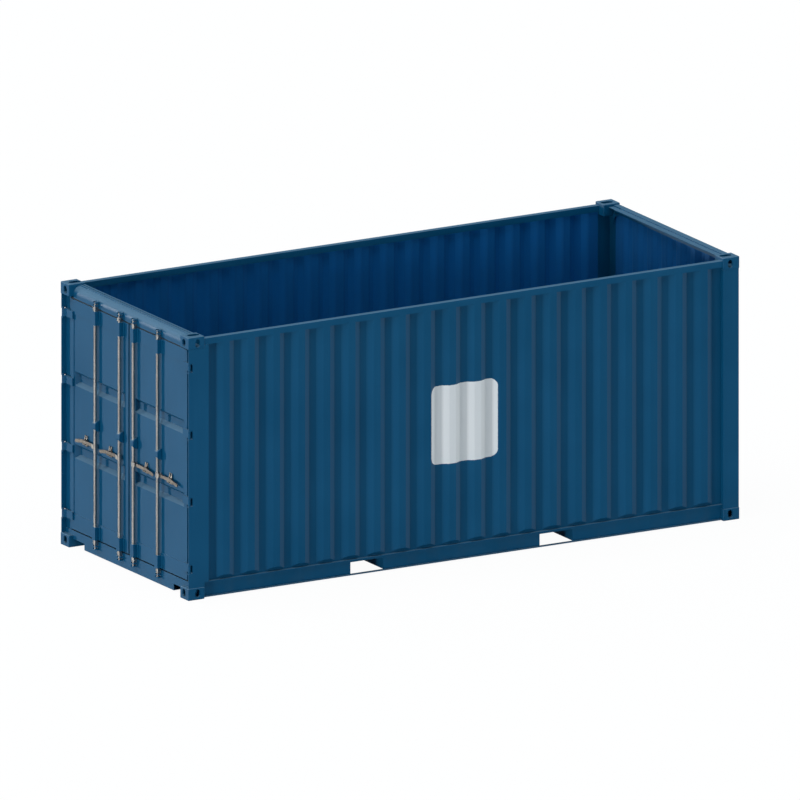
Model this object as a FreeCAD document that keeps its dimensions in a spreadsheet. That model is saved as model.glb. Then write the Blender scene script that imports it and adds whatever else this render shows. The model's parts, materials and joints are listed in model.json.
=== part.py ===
import FreeCAD, Part
import os
import Sketcher

# A 20 foot open-top shipping container: welded steel base, posts and rails, corrugated
# walls, a planked floor and two end doors with four turning lock bars.
# Frame: origin under the middle of the base, +X towards the closed front end, doors at -X,
# left is +Y, +Z up. Millimetres.

doc = FreeCAD.newDocument("shipping_container")
sheet = doc.addObject("Spreadsheet::Sheet", "dims")

driving_sizes = [
    # overall size
    ("length", 6058), ("width", 2438), ("height", 2591),
    # corner castings
    ("cast_long", 178), ("cast_wide", 162), ("cast_high", 118), ("cast_round", 7),
    ("cast_wall", 20), ("cast_plate", 28), ("lock_slot_long", 124), ("lock_slot_wide", 63.5),
    ("lock_slot_span_x", 5853), ("lock_slot_span_y", 2259),
    ("hand_hole_high", 79), ("hand_hole_wide", 51), ("end_hole_wide", 60),
    ("side_hole_from_end", 101.5), ("end_hole_from_side", 89), ("hole_from_base", 63.5),
    # posts
    ("post_inset", 5), ("post_wall", 8), ("door_post_long", 221), ("door_post_web", 58),
    ("door_post_box_end", 130), ("door_post_inner", 100), ("front_post_wall", 6),
    ("front_post_wide", 162), ("front_post_leg_long", 50), ("return_gap", 2),
    # rails
    ("skin_inset", 10), ("top_rail_size", 60), ("top_rail_wall", 4), ("top_rail_drop", 28),
    ("rail_low", 12.5), ("rail_top", 165), ("rail_deep", 54), ("rail_wall", 4.5),
    # front end rails
    ("end_top_drop", 16), ("end_top_tube", 60), ("end_top_strip", 56), ("end_top_step", 12),
    ("end_wall", 5), ("end_sill_long", 120),
    # walls
    ("sheet_wall", 2), ("ridge_deep", 36), ("ridge_pitch", 276.6), ("ridge_crest", 72),
    ("ridge_slope", 66), ("ridge_count", 20), ("ridge_base", 15), ("ridge_shift", 3),
    ("ridge_foot", 28), ("bend_round", 8), ("front_ridge_count", 7),
    # floor and base
    ("middle_beams", 5), ("end_beams", 5), ("board_count", 5),
    ("floor_thick", 28), ("floor_top", 162), ("floor_gap", 2), ("floor_side_gap", 3),
    ("beam_wide", 45), ("beam_wall", 4), ("beam_low", 17),
    ("pocket_from_middle", 1040), ("pocket_wide", 360), ("pocket_low", 17),
    ("pocket_high", 113), ("pocket_wall", 4),
    # sill and header at the doors
    ("sill_face", 50), ("sill_low", 16), ("sill_top", 162), ("sill_wall", 6),
    ("sill_notch_from_side", 369), ("sill_notch_top", 80), ("header_low", 2456),
    ("header_slope_low", 2522), ("header_slope_long", 46), ("header_wall", 5),
    ("header_round", 75), ("header_rib_from_doors", 118), ("header_rib_long", 22),
    ("header_rib_gap", 12), ("header_rib_high", 6),
    # gussets
    ("gusset_size", 110), ("gusset_wall", 8),
    # door leaves
    ("leaf_face", 50), ("leaf_thick", 45), ("leaf_from_side", 112), ("leaf_from_middle", 12),
    ("leaf_low", 176), ("leaf_top", 2442), ("stile_outer", 53), ("stile_inner", 50),
    ("leaf_rail_low", 332), ("leaf_rail_top", 2300), ("leaf_tube_wall", 4),
    ("panel_set_back", 6), ("panel_wall", 3), ("press_deep", 44), ("press_mouth", 141),
    ("press_floor", 69), ("press_low_z", 951.5), ("press_high_z", 1668.5),
    ("press_from_middle", 90), ("press_to_middle", 1040), ("press_end_slope", 36),
    ("seal_wide", 7), ("seal_lip", 5), ("seal_thick", 26), ("seal_back", 12),
    # hinges
    ("pin_from_side", 17), ("pin_from_end", 16), ("pin_r", 6.5), ("pin_play", 0.08),
    ("knuckle_r", 11), ("arm_half", 7.7), ("crank_gap", 4), ("blade_high", 76),
    ("blade_thick", 16), ("blade_from_side", 168), ("hinge_first_z", 307), ("hinge_pitch", 660.3),
    ("hinge_count", 4), ("notch_play", 3), ("notch_deep", 50), ("lug_high", 12),
    ("lug_long", 22), ("lug_wide", 15),
    # lock bars
    ("bar_inner_y", 133), ("bar_outer_y", 594), ("bar_depth", 22), ("bar_r", 17),
    ("bar_wall", 3), ("cam_r", 18), ("cam_high", 41), ("cam_bracket_gap", 5),
    ("cam_reach", 27), ("cam_thick", 22), ("cam_edge", 3), ("cam_pin_r", 11),
    ("cam_pin_high", 46),
    ("keeper_play", 6), ("keeper_jaw", 13), ("keeper_high", 44), ("keeper_half", 30),
    ("keeper_front", 6), ("keeper_plate", 6), ("keeper_round", 5),
    # brackets that hold the bars
    ("bracket_half", 30), ("bracket_front", 2), ("bracket_play", 0.1),
    ("bracket_low_z", 183), ("bracket_low_high", 127), ("bracket_mid_z", 1305),
    ("bracket_mid_r", 54), ("bracket_top_z", 2300), ("bracket_top_high", 135),
    ("bracket_foot", 55), ("bracket_foot_thick", 6),
    # handles
    ("hub_z", 1100), ("hub_r", 22), ("hub_high", 44), ("hub_reach", 46), ("hub_thick", 36),
    ("hub_round", 6), ("hub_slot", 12), ("hub_play", 0.05), ("handle_pin_y", 33),
    ("handle_pin_r", 5), ("handle_pin_play", 0.08), ("handle_eye_r", 11),
    ("handle_thick", 10), ("handle_reach", 380), ("handle_root", 22), ("handle_high", 32),
    ("handle_bend_y", 240), ("handle_droop", 22),
    # handle catches
    ("catch_y", 209), ("catch_wide", 44), ("catch_shelf", 10), ("catch_play", 1),
    ("catch_front", 12), ("catch_plate", 6), ("catch_plate_drop", 30), ("prong_wide", 12),
    ("prong_high", 44), ("prong_thick", 8), ("prong_lean", 10),
]

for row, (alias, value) in enumerate(driving_sizes, start=1):
    sheet.set(f"A{row}", alias)
    sheet.set(f"B{row}", str(value))
    sheet.setAlias(f"B{row}", alias)
doc.recompute()


class Size:
    """A length worked out from sheet cells: its expression and its present value."""

    def __init__(self, text, value):
        self.text = text
        self.value = value

    def __add__(self, other):
        other = as_size(other)
        return Size(f"({self.text} + {other.text})", self.value + other.value)

    def __sub__(self, other):
        other = as_size(other)
        return Size(f"({self.text} - {other.text})", self.value - other.value)

    def __mul__(self, other):
        other = as_size(other)
        return Size(f"({self.text} * {other.text})", self.value * other.value)

    def __truediv__(self, other):
        other = as_size(other)
        return Size(f"({self.text} / {other.text})", self.value / other.value)

    def __neg__(self):
        return Size(f"(-1 * {self.text})", -self.value)

    def __radd__(self, other):
        return as_size(other) + self

    def __rsub__(self, other):
        return as_size(other) - self

    def __rmul__(self, other):
        return as_size(other) * self


def as_size(number):
    return number if isinstance(number, Size) else Size(str(number), float(number))


class Sizes:
    """The sheet's cells by name."""

    def __init__(self):
        for alias, value in driving_sizes:
            setattr(self, alias, Size(f"dims.{alias}", float(value)))


s = Sizes()
half_length = s.length / 2
half_width = s.width / 2


def from_doors(depth):
    """X of a plane this deep behind the door end."""
    return as_size(depth) - half_length


def from_front(depth):
    """X of a plane this deep behind the closed front end."""
    return half_length - depth


def from_side(depth):
    """Y of a plane this deep behind the left side."""
    return half_width - depth


def inset(span, amount):
    """A pair of planes moved towards each other."""
    return (span[0] + amount, span[1] - amount)


def bind(obj, name, amount):
    amount = as_size(amount)
    obj.setExpression(name, amount.text)


def put(obj, x, y, z):
    bind(obj, "Placement.Base.x", x)
    bind(obj, "Placement.Base.y", y)
    bind(obj, "Placement.Base.z", z)


def box(name, x, y, z):
    """A block between two planes on each axis; each axis is a (low, high) pair."""
    block = doc.addObject("Part::Box", name)
    bind(block, "Length", as_size(x[1]) - x[0])
    bind(block, "Width", as_size(y[1]) - y[0])
    bind(block, "Height", as_size(z[1]) - z[0])
    put(block, x[0], y[0], z[0])
    return block


def frustum(name, run, side_slope, deep, high, low_slope, top_slope):
    """A block on the XZ plane whose four sides can slope in towards its far face at +Y."""
    wedge = doc.addObject("Part::Wedge", name)
    wedge.Xmax, wedge.Ymax, wedge.Zmax = run.value, deep.value, high.value
    corners = {"Xmin": 0, "Xmax": run, "X2min": side_slope, "X2max": run - side_slope,
               "Ymin": 0, "Ymax": deep, "Zmin": 0, "Zmax": high, "Z2min": low_slope,
               "Z2max": high - top_slope}
    for key, amount in corners.items():
        bind(wedge, key, amount)
    return wedge


turns = {
    "x": FreeCAD.Rotation(FreeCAD.Vector(0, 1, 0), 90),
    "y": FreeCAD.Rotation(FreeCAD.Vector(1, 0, 0), -90),
    "z": FreeCAD.Rotation(),
}


def rod(name, axis, x, y, z, radius, long):
    """A cylinder that starts at x, y, z and runs along the positive axis."""
    cylinder = doc.addObject("Part::Cylinder", name)
    cylinder.Placement = FreeCAD.Placement(FreeCAD.Vector(), turns[axis])
    bind(cylinder, "Radius", radius)
    bind(cylinder, "Height", long)
    put(cylinder, x, y, z)
    return cylinder


def fuse(name, pieces):
    whole = doc.addObject("Part::MultiFuse", name)
    whole.Shapes = pieces
    whole.Refine = True
    return whole


def cut(name, base, tools):
    rest = doc.addObject("Part::Cut", name)
    rest.Base = base
    rest.Tool = tools[0] if len(tools) == 1 else fuse(name + "_tool", tools)
    return rest


def group(name, pieces):
    """Like pieces on one body, side by side in one node."""
    together = doc.addObject("Part::Compound", name)
    together.Links = pieces
    return together


def mirror(name, source, normal):
    copy = doc.addObject("Part::Mirroring", name)
    copy.Source = source
    copy.Normal = FreeCAD.Vector(*normal)
    return copy


across = (0, 1, 0)
upward = (0, 0, 1)
overcut = 1


def closed_outline(sketch, points):
    """Lines through the points, each point held by its two distances from the origin."""
    first = sketch.GeometryCount
    count = len(points)
    flat = [(as_size(u), as_size(v)) for u, v in points]
    for index in range(count):
        start, end = flat[index], flat[(index + 1) % count]
        line = Part.LineSegment(FreeCAD.Vector(start[0].value, start[1].value, 0),
                                FreeCAD.Vector(end[0].value, end[1].value, 0))
        sketch.addGeometry(line, False)
    for index in range(count):
        after = first + (index + 1) % count
        sketch.addConstraint(Sketcher.Constraint("Coincident", first + index, 2, after, 1))
    for index, point in enumerate(flat):
        for kind, amount in zip(("DistanceX", "DistanceY"), point):
            held = Sketcher.Constraint(kind, -1, 1, first + index, 1, amount.value)
            number = sketch.addConstraint(held)
            sketch.setExpression(f"Constraints[{number}]", amount.text)


def prism(name, plane, outlines, start, long):
    """A body padded from outlines on a main plane, from start along the plane's normal."""
    body = doc.addObject("PartDesign::Body", name)
    sketch = body.newObject("Sketcher::SketchObject", name + "_outline")
    origin_plane = [part for part in body.Origin.OriginFeatures if part.Role == plane + "_Plane"]
    sketch.AttachmentSupport = (origin_plane[0], [""])
    sketch.MapMode = "FlatFace"
    bind(sketch, "AttachmentOffset.Base.z", start)
    for points in outlines:
        closed_outline(sketch, points)
    pad = body.newObject("PartDesign::Pad", name + "_pad")
    pad.Profile = sketch
    bind(pad, "Length", long)
    body.Tip = pad
    return body


def rounded(name, source, radius, chosen):
    """Round those edges of a piece that the test picks."""
    doc.recompute()
    edges = [index for index, edge in enumerate(source.Shape.Edges, start=1) if chosen(edge)]
    fillet = doc.addObject("Part::Fillet", name)
    fillet.Base = source
    fillet.Edges = [(index, radius.value, radius.value) for index in edges]
    return fillet


def slot(name, axis, centre, long_axis, long, wide, deep):
    """A round-ended hole through a wall: axis is its direction, centre its middle point."""
    half_run = (long - wide) / 2
    place = dict(zip("xyz", [as_size(c) for c in centre]))
    sides = {}
    for key in "xyz":
        reach = deep / 2 if key == axis else (half_run if key == long_axis else wide / 2)
        sides[key] = (place[key] - reach, place[key] + reach)
    middle = box(name + "_middle", sides["x"], sides["y"], sides["z"])
    ends = []
    for label, sign in (("a", -1), ("b", 1)):
        spot = dict(place)
        spot[axis] = place[axis] - deep / 2
        spot[long_axis] = place[long_axis] + sign * half_run
        ends.append(rod(f"{name}_end_{label}", axis, spot["x"], spot["y"], spot["z"], wide / 2, deep))
    return fuse(name, [middle] + ends)


sub_parts = []


def keep(obj, label):
    obj.Label = label
    sub_parts.append(obj)
    return obj


def keep_pair(obj, label):
    """Keep a left-hand piece and its mirror image on the right as two nodes."""
    keep(obj, label + "_left")
    keep(mirror(label + "_mirror", obj, across), label + "_right")


def keep_both(obj, label):
    """Keep a left-hand piece and its mirror image on the right in one node."""
    keep(group(label + "_pair", [obj, mirror(label + "_mirror", obj, across)]), label)


# Corner castings: hollow blocks with a lock slot top or bottom and two hand holes.

def corner_casting(name, x_face, x_sign):
    """The bottom casting on the left; x_sign points from the end face into the container."""
    x_in = x_face + x_sign * s.cast_long
    low_x, high_x = (x_face, x_in) if x_sign > 0 else (x_in, x_face)
    block = box(name + "_block", (low_x, high_x), (from_side(s.cast_wide), half_width),
                (0, s.cast_high))
    soft = rounded(name + "_soft", block, s.cast_round, lambda edge: True)
    hollow = box(name + "_hollow", (low_x + s.cast_wall, high_x - s.cast_wall),
                 (from_side(s.cast_wide) + s.cast_wall, half_width - s.cast_wall),
                 (s.cast_plate, s.cast_high - s.cast_wall))
    lock = slot(name + "_lock", "z", (x_sign * -1 * s.lock_slot_span_x / 2, s.lock_slot_span_y / 2,
                                      s.cast_plate / 2), "x",
                s.lock_slot_long, s.lock_slot_wide, s.cast_plate * 2)
    side = slot(name + "_side", "y", (x_face + x_sign * s.side_hole_from_end, half_width,
                                      s.hole_from_base), "z",
                s.hand_hole_high, s.hand_hole_wide, s.cast_wall * 3)
    end = slot(name + "_end", "x", (x_face, from_side(s.end_hole_from_side), s.hole_from_base),
               "z", s.hand_hole_high, s.end_hole_wide, s.cast_wall * 3)
    return cut(name, soft, [hollow, lock, side, end])


casting_rear = corner_casting("casting_rear", -half_length, 1)
casting_front = corner_casting("casting_front", half_length, -1)
bottom_left = [casting_rear, casting_front]
bottom_right = [mirror(part.Name + "_right", part, across) for part in bottom_left]
bottom_castings = group("bottom_castings", bottom_left + bottom_right)
top_castings = mirror("top_castings", bottom_castings, upward)
bind(top_castings, "Base.z", s.height / 2)
keep(group("castings", [bottom_castings, top_castings]), "corner_castings")

# Door posts: a side plate with a return, and a box section behind the hinge channel.

cast_top_face = s.height - s.cast_high
top_rail_low = s.height - s.top_rail_drop - s.top_rail_size
post_side = from_side(s.post_inset)
post_inside = from_side(s.post_inset + s.post_wall)
post_end = from_doors(s.post_inset + s.door_post_long)
return_y = from_side(s.skin_inset + s.ridge_deep + s.sheet_wall + s.return_gap)

door_post_outer = [
    (from_doors(s.post_inset), post_side), (post_end, post_side), (post_end, return_y),
    (post_end - s.post_wall, return_y), (post_end - s.post_wall, post_inside),
    (from_doors(s.door_post_box_end), post_inside),
    (from_doors(s.door_post_box_end), from_side(s.door_post_inner)),
    (from_doors(s.door_post_web), from_side(s.door_post_inner)),
    (from_doors(s.door_post_web), post_inside), (from_doors(s.post_inset), post_inside),
]
door_post_inner = [
    (from_doors(s.door_post_web + s.post_wall), post_inside),
    (from_doors(s.door_post_box_end - s.post_wall), post_inside),
    (from_doors(s.door_post_box_end - s.post_wall), from_side(s.door_post_inner - s.post_wall)),
    (from_doors(s.door_post_web + s.post_wall), from_side(s.door_post_inner - s.post_wall)),
]
door_post_bar = prism("door_post_bar", "XY", [door_post_outer, door_post_inner], s.cast_high,
                      top_rail_low - s.cast_high)
post_cuts = [
    box("post_top_cut", (-half_length, from_doors(s.cast_long)), (0, half_width),
        (cast_top_face, top_rail_low + 1)),
    box("post_foot_cut", (from_doors(s.cast_long), from_doors(s.cast_long + s.door_post_long)),
        (0, half_width), (s.cast_high - 1, s.rail_top)),
]


def hinge_z(index):
    return s.hinge_first_z + index * s.hinge_pitch


hinges = range(int(s.hinge_count.value))
for index in hinges:
    reach = s.blade_high / 2 + s.notch_play
    post_cuts.append(box(f"hinge_notch_{index}", (-half_length, from_doors(s.notch_deep)),
                         (post_inside - 1, half_width),
                         (hinge_z(index) - reach, hinge_z(index) + reach)))
keep_both(cut("door_post", door_post_bar, post_cuts), "door_posts")

# Front posts: a closed angle section.

front_post_outer = [
    (from_front(s.post_inset), post_side), (from_front(s.cast_long), post_side),
    (from_front(s.cast_long), return_y), (from_front(s.front_post_leg_long), return_y),
    (from_front(s.front_post_leg_long), from_side(s.front_post_wide)),
    (from_front(s.post_inset), from_side(s.front_post_wide)),
]
wall = s.front_post_wall
front_post_hollow = [
    (from_front(s.post_inset) - wall, post_side - wall),
    (from_front(s.cast_long) + wall, post_side - wall),
    (from_front(s.cast_long) + wall, return_y + wall),
    (from_front(s.front_post_leg_long) + wall, return_y + wall),
    (from_front(s.front_post_leg_long) + wall, from_side(s.front_post_wide) + wall),
    (from_front(s.post_inset) - wall, from_side(s.front_post_wide) + wall),
]
keep_both(prism("front_post", "XY", [front_post_outer, front_post_hollow], s.cast_high,
                cast_top_face - s.cast_high), "front_posts")

# Top side rails: square tube between the castings.

rail_start = from_doors(s.cast_long)
rail_long = s.length - 2 * s.cast_long
skin = from_side(s.skin_inset)
tube_in = skin - s.top_rail_size
top_tube = prism("top_rail", "YZ", [
    [(skin, top_rail_low), (skin, top_rail_low + s.top_rail_size),
     (tube_in, top_rail_low + s.top_rail_size), (tube_in, top_rail_low)],
    [(skin - s.top_rail_wall, top_rail_low + s.top_rail_wall),
     (skin - s.top_rail_wall, top_rail_low + s.top_rail_size - s.top_rail_wall),
     (tube_in + s.top_rail_wall, top_rail_low + s.top_rail_size - s.top_rail_wall),
     (tube_in + s.top_rail_wall, top_rail_low + s.top_rail_wall)],
], rail_start, rail_long)
keep_both(top_tube, "top_rails")

# Bottom side rails: an outward channel, its web open at the fork pockets.

rail_web = from_side(s.rail_deep)
channel = [
    (skin, s.rail_low), (skin, s.rail_low + s.rail_wall),
    (rail_web + s.rail_wall, s.rail_low + s.rail_wall),
    (rail_web + s.rail_wall, s.rail_top - s.rail_wall), (skin, s.rail_top - s.rail_wall),
    (skin, s.rail_top), (rail_web, s.rail_top), (rail_web, s.rail_low),
]
channel_bar = prism("rail_bar", "YZ", [channel], rail_start, rail_long)
pocket_top = s.pocket_low + s.pocket_high
pocket_sides = []
for label, sign in (("rear", -1), ("front", 1)):
    middle = sign * s.pocket_from_middle
    pocket_sides.append((label, middle - s.pocket_wide / 2, middle + s.pocket_wide / 2))
rail_holes = [box(f"rail_hole_{label}", (low, high), (rail_web - 1, skin),
                  (s.pocket_low, pocket_top)) for label, low, high in pocket_sides]
keep_both(cut("bottom_rail", channel_bar, rail_holes), "bottom_rails")

# Fork pockets: inverted troughs right across the base.

troughs = []
for label, low, high in pocket_sides:
    legs = [(low - s.pocket_wall, s.pocket_low), (low, s.pocket_low), (low, pocket_top),
            (high, pocket_top), (high, s.pocket_low), (high + s.pocket_wall, s.pocket_low),
            (high + s.pocket_wall, pocket_top + s.pocket_wall),
            (low - s.pocket_wall, pocket_top + s.pocket_wall)]
    troughs.append(prism(f"pocket_{label}", "XZ", [legs], -rail_web, 2 * rail_web))
keep(group("fork_pockets", troughs), "fork_pockets")

# Cross members: channels across the base, clear of the fork pockets.

floor_low = s.floor_top - s.floor_thick


def cross_member(name, x_low):
    x_high = x_low + s.beam_wide
    outline = [(x_low, s.beam_low), (x_high, s.beam_low), (x_high, s.beam_low + s.beam_wall),
               (x_low + s.beam_wall, s.beam_low + s.beam_wall),
               (x_low + s.beam_wall, floor_low - s.beam_wall), (x_high, floor_low - s.beam_wall),
               (x_high, floor_low), (x_low, floor_low)]
    return prism(name, "XZ", [outline], -rail_web, 2 * rail_web)


pocket_inner_side = s.pocket_from_middle - s.pocket_wide / 2 - s.pocket_wall
pocket_outer_side = s.pocket_from_middle + s.pocket_wide / 2 + s.pocket_wall
middle_bay = pocket_inner_side * 2 / (s.middle_beams + 1)
end_bay_long = half_length - s.cast_long - pocket_outer_side
end_bay = end_bay_long / (s.end_beams + 0.5)
beam_starts = []
for index in range(int(s.middle_beams.value)):
    beam_starts.append(middle_bay * (index + 1) - pocket_inner_side - s.beam_wide / 2)
for sign in (-1, 1):
    for index in range(int(s.end_beams.value)):
        centre = sign * (pocket_outer_side + end_bay * (index + 0.5))
        beam_starts.append(centre - s.beam_wide / 2)
beams = [cross_member(f"cross_member_{index}", start) for index, start in enumerate(beam_starts)]
keep(group("cross_members", beams), "cross_members")

# Floor: boards across, seated on the cross members between the side rails.

board_y = rail_web - s.floor_side_gap
floor_start = from_doors(s.cast_long + s.floor_gap)
floor_end = from_front(s.end_sill_long + s.floor_gap)
board_pitch = (floor_end - floor_start + s.floor_gap) / s.board_count
boards = []
for index in range(int(s.board_count.value)):
    board_low = floor_start + board_pitch * index
    boards.append(box(f"floor_board_{index}", (board_low, board_low + board_pitch - s.floor_gap),
                      (-board_y, board_y), (floor_low, s.floor_top)))
keep(group("floor", boards), "floor_boards")

# Walls: a thin sheet with pressed-out ridges, hollow behind, their feet sloping in.

def ridge(name, start, base, low, top):
    """One solid ridge that tapers towards +Y, with a sloping foot and a square top."""
    run = 2 * s.ridge_slope + s.ridge_crest
    block = frustum(name, run, s.ridge_slope, s.ridge_deep, top - low, s.ridge_foot, 0)
    put(block, start, base, low)
    return block


def ridged_wall(name, low, high, base, first, count):
    """A wall lying along X whose ridges stand out towards +Y."""
    foot = s.rail_top + s.ridge_base
    outer = [box(name + "_slab", (low, high), (base, base + s.sheet_wall),
                 (s.rail_top, top_rail_low))]
    inner = []
    for index in range(int(count.value)):
        start = first + index * s.ridge_pitch
        outer.append(ridge(f"{name}_ridge_{index}", start, base + s.sheet_wall, foot,
                           top_rail_low))
        inner.append(ridge(f"{name}_hollow_{index}", start, base, foot, top_rail_low))
    sheet_metal = cut(name + "_sheet", fuse(name + "_solid", outer),
                      [fuse(name + "_inside", inner)])
    ridge_high = (top_rail_low - foot - s.ridge_foot).value

    def upright_bend(edge):
        at = edge.BoundBox
        return at.ZLength >= ridge_high and low.value + 1 < at.XMin < high.value - 1

    return rounded(name, sheet_metal, s.bend_round, upright_bend)


wall_low = post_end
wall_high = from_front(s.cast_long)
ridge_run = s.ridge_pitch * (s.ridge_count - 1) + s.ridge_crest + 2 * s.ridge_slope
ridge_first = (wall_low + wall_high - ridge_run) / 2 - s.ridge_shift
wall_base = from_side(s.skin_inset + s.ridge_deep + s.sheet_wall)
keep_both(ridged_wall("side_wall", wall_low, wall_high, wall_base, ridge_first, s.ridge_count),
          "side_walls")

# Front wall: the same pressing, turned to face +X.

front_half = from_side(s.front_post_wide)
front_base = from_front(s.skin_inset + s.ridge_deep + s.sheet_wall)
front_run = s.ridge_pitch * (s.front_ridge_count - 1) + s.ridge_crest + 2 * s.ridge_slope
front_wall = ridged_wall("front_wall", -front_half, front_half, front_base, -front_run / 2,
                         s.front_ridge_count)
front_wall.Placement = FreeCAD.Placement(FreeCAD.Vector(), FreeCAD.Rotation(-90, 0, 0))
keep(front_wall, "front_wall")

# Front end rails: a stepped top rail and a channel at the floor.

end_y = from_side(s.cast_wide)
end_top = s.height - s.end_top_drop
tube_back = from_front(s.skin_inset + s.end_top_tube)
strip_end = tube_back - s.end_top_strip
front_top = prism("front_top_rail", "XZ", [
    [(from_front(s.skin_inset), top_rail_low), (from_front(s.skin_inset), end_top),
     (tube_back, end_top), (tube_back, end_top - s.end_top_step),
     (strip_end, end_top - s.end_top_step), (strip_end, end_top - s.end_top_step - s.end_wall),
     (tube_back, end_top - s.end_top_step - s.end_wall), (tube_back, top_rail_low)],
    [(from_front(s.skin_inset + s.end_wall), top_rail_low + s.end_wall),
     (from_front(s.skin_inset + s.end_wall), end_top - s.end_wall),
     (tube_back + s.end_wall, end_top - s.end_wall),
     (tube_back + s.end_wall, top_rail_low + s.end_wall)],
], -end_y, 2 * end_y)
keep(front_top, "front_top_rail")

sill_back = from_front(s.end_sill_long)
front_face = from_front(s.skin_inset)
front_sill = prism("front_sill", "XZ", [
    [(front_face, s.sill_low), (front_face, s.rail_top), (sill_back, s.rail_top),
     (sill_back, s.rail_top - s.end_wall), (front_face - s.end_wall, s.rail_top - s.end_wall),
     (front_face - s.end_wall, s.sill_low + s.end_wall), (sill_back, s.sill_low + s.end_wall),
     (sill_back, s.sill_low)],
], -end_y, 2 * end_y)
keep(front_sill, "front_bottom_rail")

# Gussets: curved plates in the two top corners of the front end.

gusset_x = tube_back - s.gusset_wall
gusset_plate = box("gusset_plate", (gusset_x, tube_back),
                   (end_y - s.gusset_size, end_y), (top_rail_low - s.gusset_size, top_rail_low))
gusset_curve = rod("gusset_curve", "x", gusset_x - overcut, end_y - s.gusset_size,
                   top_rail_low - s.gusset_size, s.gusset_size - s.gusset_wall,
                   s.gusset_wall + 2 * overcut)
gusset = cut("gusset", gusset_plate, [gusset_curve])
keep_both(gusset, "corner_gussets")

# Door sill: a channel under the leaves with its lower corners cut away.

sill_front = from_doors(s.sill_face)
sill_end = from_doors(s.cast_long)
door_sill_bar = prism("door_sill_bar", "XZ", [
    [(sill_front, s.sill_low), (sill_end, s.sill_low), (sill_end, s.sill_low + s.sill_wall),
     (sill_front + s.sill_wall, s.sill_low + s.sill_wall),
     (sill_front + s.sill_wall, s.sill_top - s.sill_wall), (sill_end, s.sill_top - s.sill_wall),
     (sill_end, s.sill_top), (sill_front, s.sill_top)],
], -end_y, 2 * end_y)
notch_y = from_side(s.sill_notch_from_side)
sill_notch = box("sill_notch", (sill_front - overcut, sill_end + overcut), (notch_y, half_width),
                 (0, s.sill_notch_top))
sill_notch_right = mirror("sill_notch_right", sill_notch, across)
sill_wing = fuse("sill_wing", [
    box("sill_wing_face", (sill_front, from_doors(s.door_post_web)), (end_y, post_inside),
        (s.cast_high, s.sill_top)),
    box("sill_wing_top", (sill_front, sill_end), (end_y, from_side(s.door_post_inner)),
        (s.sill_top - s.sill_wall, s.sill_top)),
])
keep(fuse("sill_solid", [cut("sill_cut", door_sill_bar, [sill_notch, sill_notch_right]),
                         sill_wing, mirror("sill_wing_right", sill_wing, across)]), "door_sill")

# Door header: a box section, rounded back at the top, with two ribs along it.

slope_end = sill_front + s.header_slope_long
header_top = end_top - s.header_rib_high
thin = s.header_wall
header_box = prism("header_box", "XZ", [
    [(sill_front, s.header_low), (sill_front, s.header_slope_low), (slope_end, header_top),
     (sill_end, header_top), (sill_end, s.header_low)],
    [(sill_front + thin, s.header_low + thin), (sill_front + thin, s.header_slope_low - thin),
     (slope_end + thin, header_top - thin), (sill_end - thin, header_top - thin),
     (sill_end - thin, s.header_low + thin)],
], -end_y, 2 * end_y)


def header_bend(edge):
    """The two bends of the header's face, on the outside and the inside."""
    at = edge.BoundBox
    bends = ((sill_front, s.header_slope_low), (slope_end, header_top),
             (sill_front + thin, s.header_slope_low - thin), (slope_end + thin, header_top - thin))
    near = [abs(at.XMin - x.value) < 1 and abs(at.ZMin - z.value) < 1 for x, z in bends]
    return at.YLength > end_y.value and any(near)


ribs = [rounded("header_soft", header_box, s.header_round, header_bend)]
for index in range(2):
    rib_start = from_doors(s.header_rib_from_doors)
    rib_start += index * (s.header_rib_long + s.header_rib_gap)
    ribs.append(box(f"header_rib_{index}", (rib_start, rib_start + s.header_rib_long),
                    (-end_y, end_y), (header_top - thin / 2, end_top)))
keep(fuse("door_header", ribs), "door_header")

# Door leaves: tube frame, pressed panel and rubber seal.

leaf_x = (from_doors(s.leaf_face), from_doors(s.leaf_face + s.leaf_thick))
leaf_y = (as_size(s.leaf_from_middle), from_side(s.leaf_from_side))
leaf_z = (s.leaf_low, s.leaf_top)
open_y = (s.leaf_from_middle + s.stile_inner, from_side(s.leaf_from_side) - s.stile_outer)
open_z = (s.leaf_rail_low, s.leaf_rail_top)


tube = s.leaf_tube_wall
frame_block = box("leaf_block", leaf_x, leaf_y, leaf_z)
frame_opening = box("leaf_opening", inset(leaf_x, -1), open_y, open_z)
frame_core = box("leaf_core", inset(leaf_x, tube), inset(leaf_y, tube), inset(leaf_z, tube))
frame_keep = box("leaf_keep", inset(leaf_x, -2), inset(open_y, -tube), inset(open_z, -tube))
frame_hollow = cut("leaf_hollow", frame_core, [frame_keep])
keep_pair(cut("door_frame", frame_block, [frame_opening, frame_hollow]), "door_frame")

panel_front = from_doors(s.leaf_face + s.panel_set_back)
panel_back = panel_front + s.panel_wall


def pressing(name, z_mid, front):
    """A horizontal pressed channel in a leaf, wide at its front and sloping on four sides."""
    span = s.press_to_middle - s.press_from_middle
    slope = (s.press_mouth - s.press_floor) / 2
    block = frustum(name, span, s.press_end_slope, s.press_deep - s.panel_wall, s.press_mouth,
                    slope, slope)
    block.Placement = FreeCAD.Placement(FreeCAD.Vector(), FreeCAD.Rotation(-90, 0, 0))
    put(block, front, s.press_to_middle, z_mid - s.press_mouth / 2)
    return block


panel_slab = box("panel_slab", (panel_front, panel_back), open_y, open_z)
press_places = (("low", s.press_low_z), ("high", s.press_high_z))
outer_pressings = [pressing(f"press_{label}_out", z_mid, panel_back)
                   for label, z_mid in press_places]
inner_pressings = [pressing(f"press_{label}_in", z_mid, panel_front)
                   for label, z_mid in press_places]
panel_solid = fuse("panel_solid", [panel_slab] + outer_pressings)
keep_pair(cut("door_panel", panel_solid, inner_pressings), "door_panel")

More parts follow.
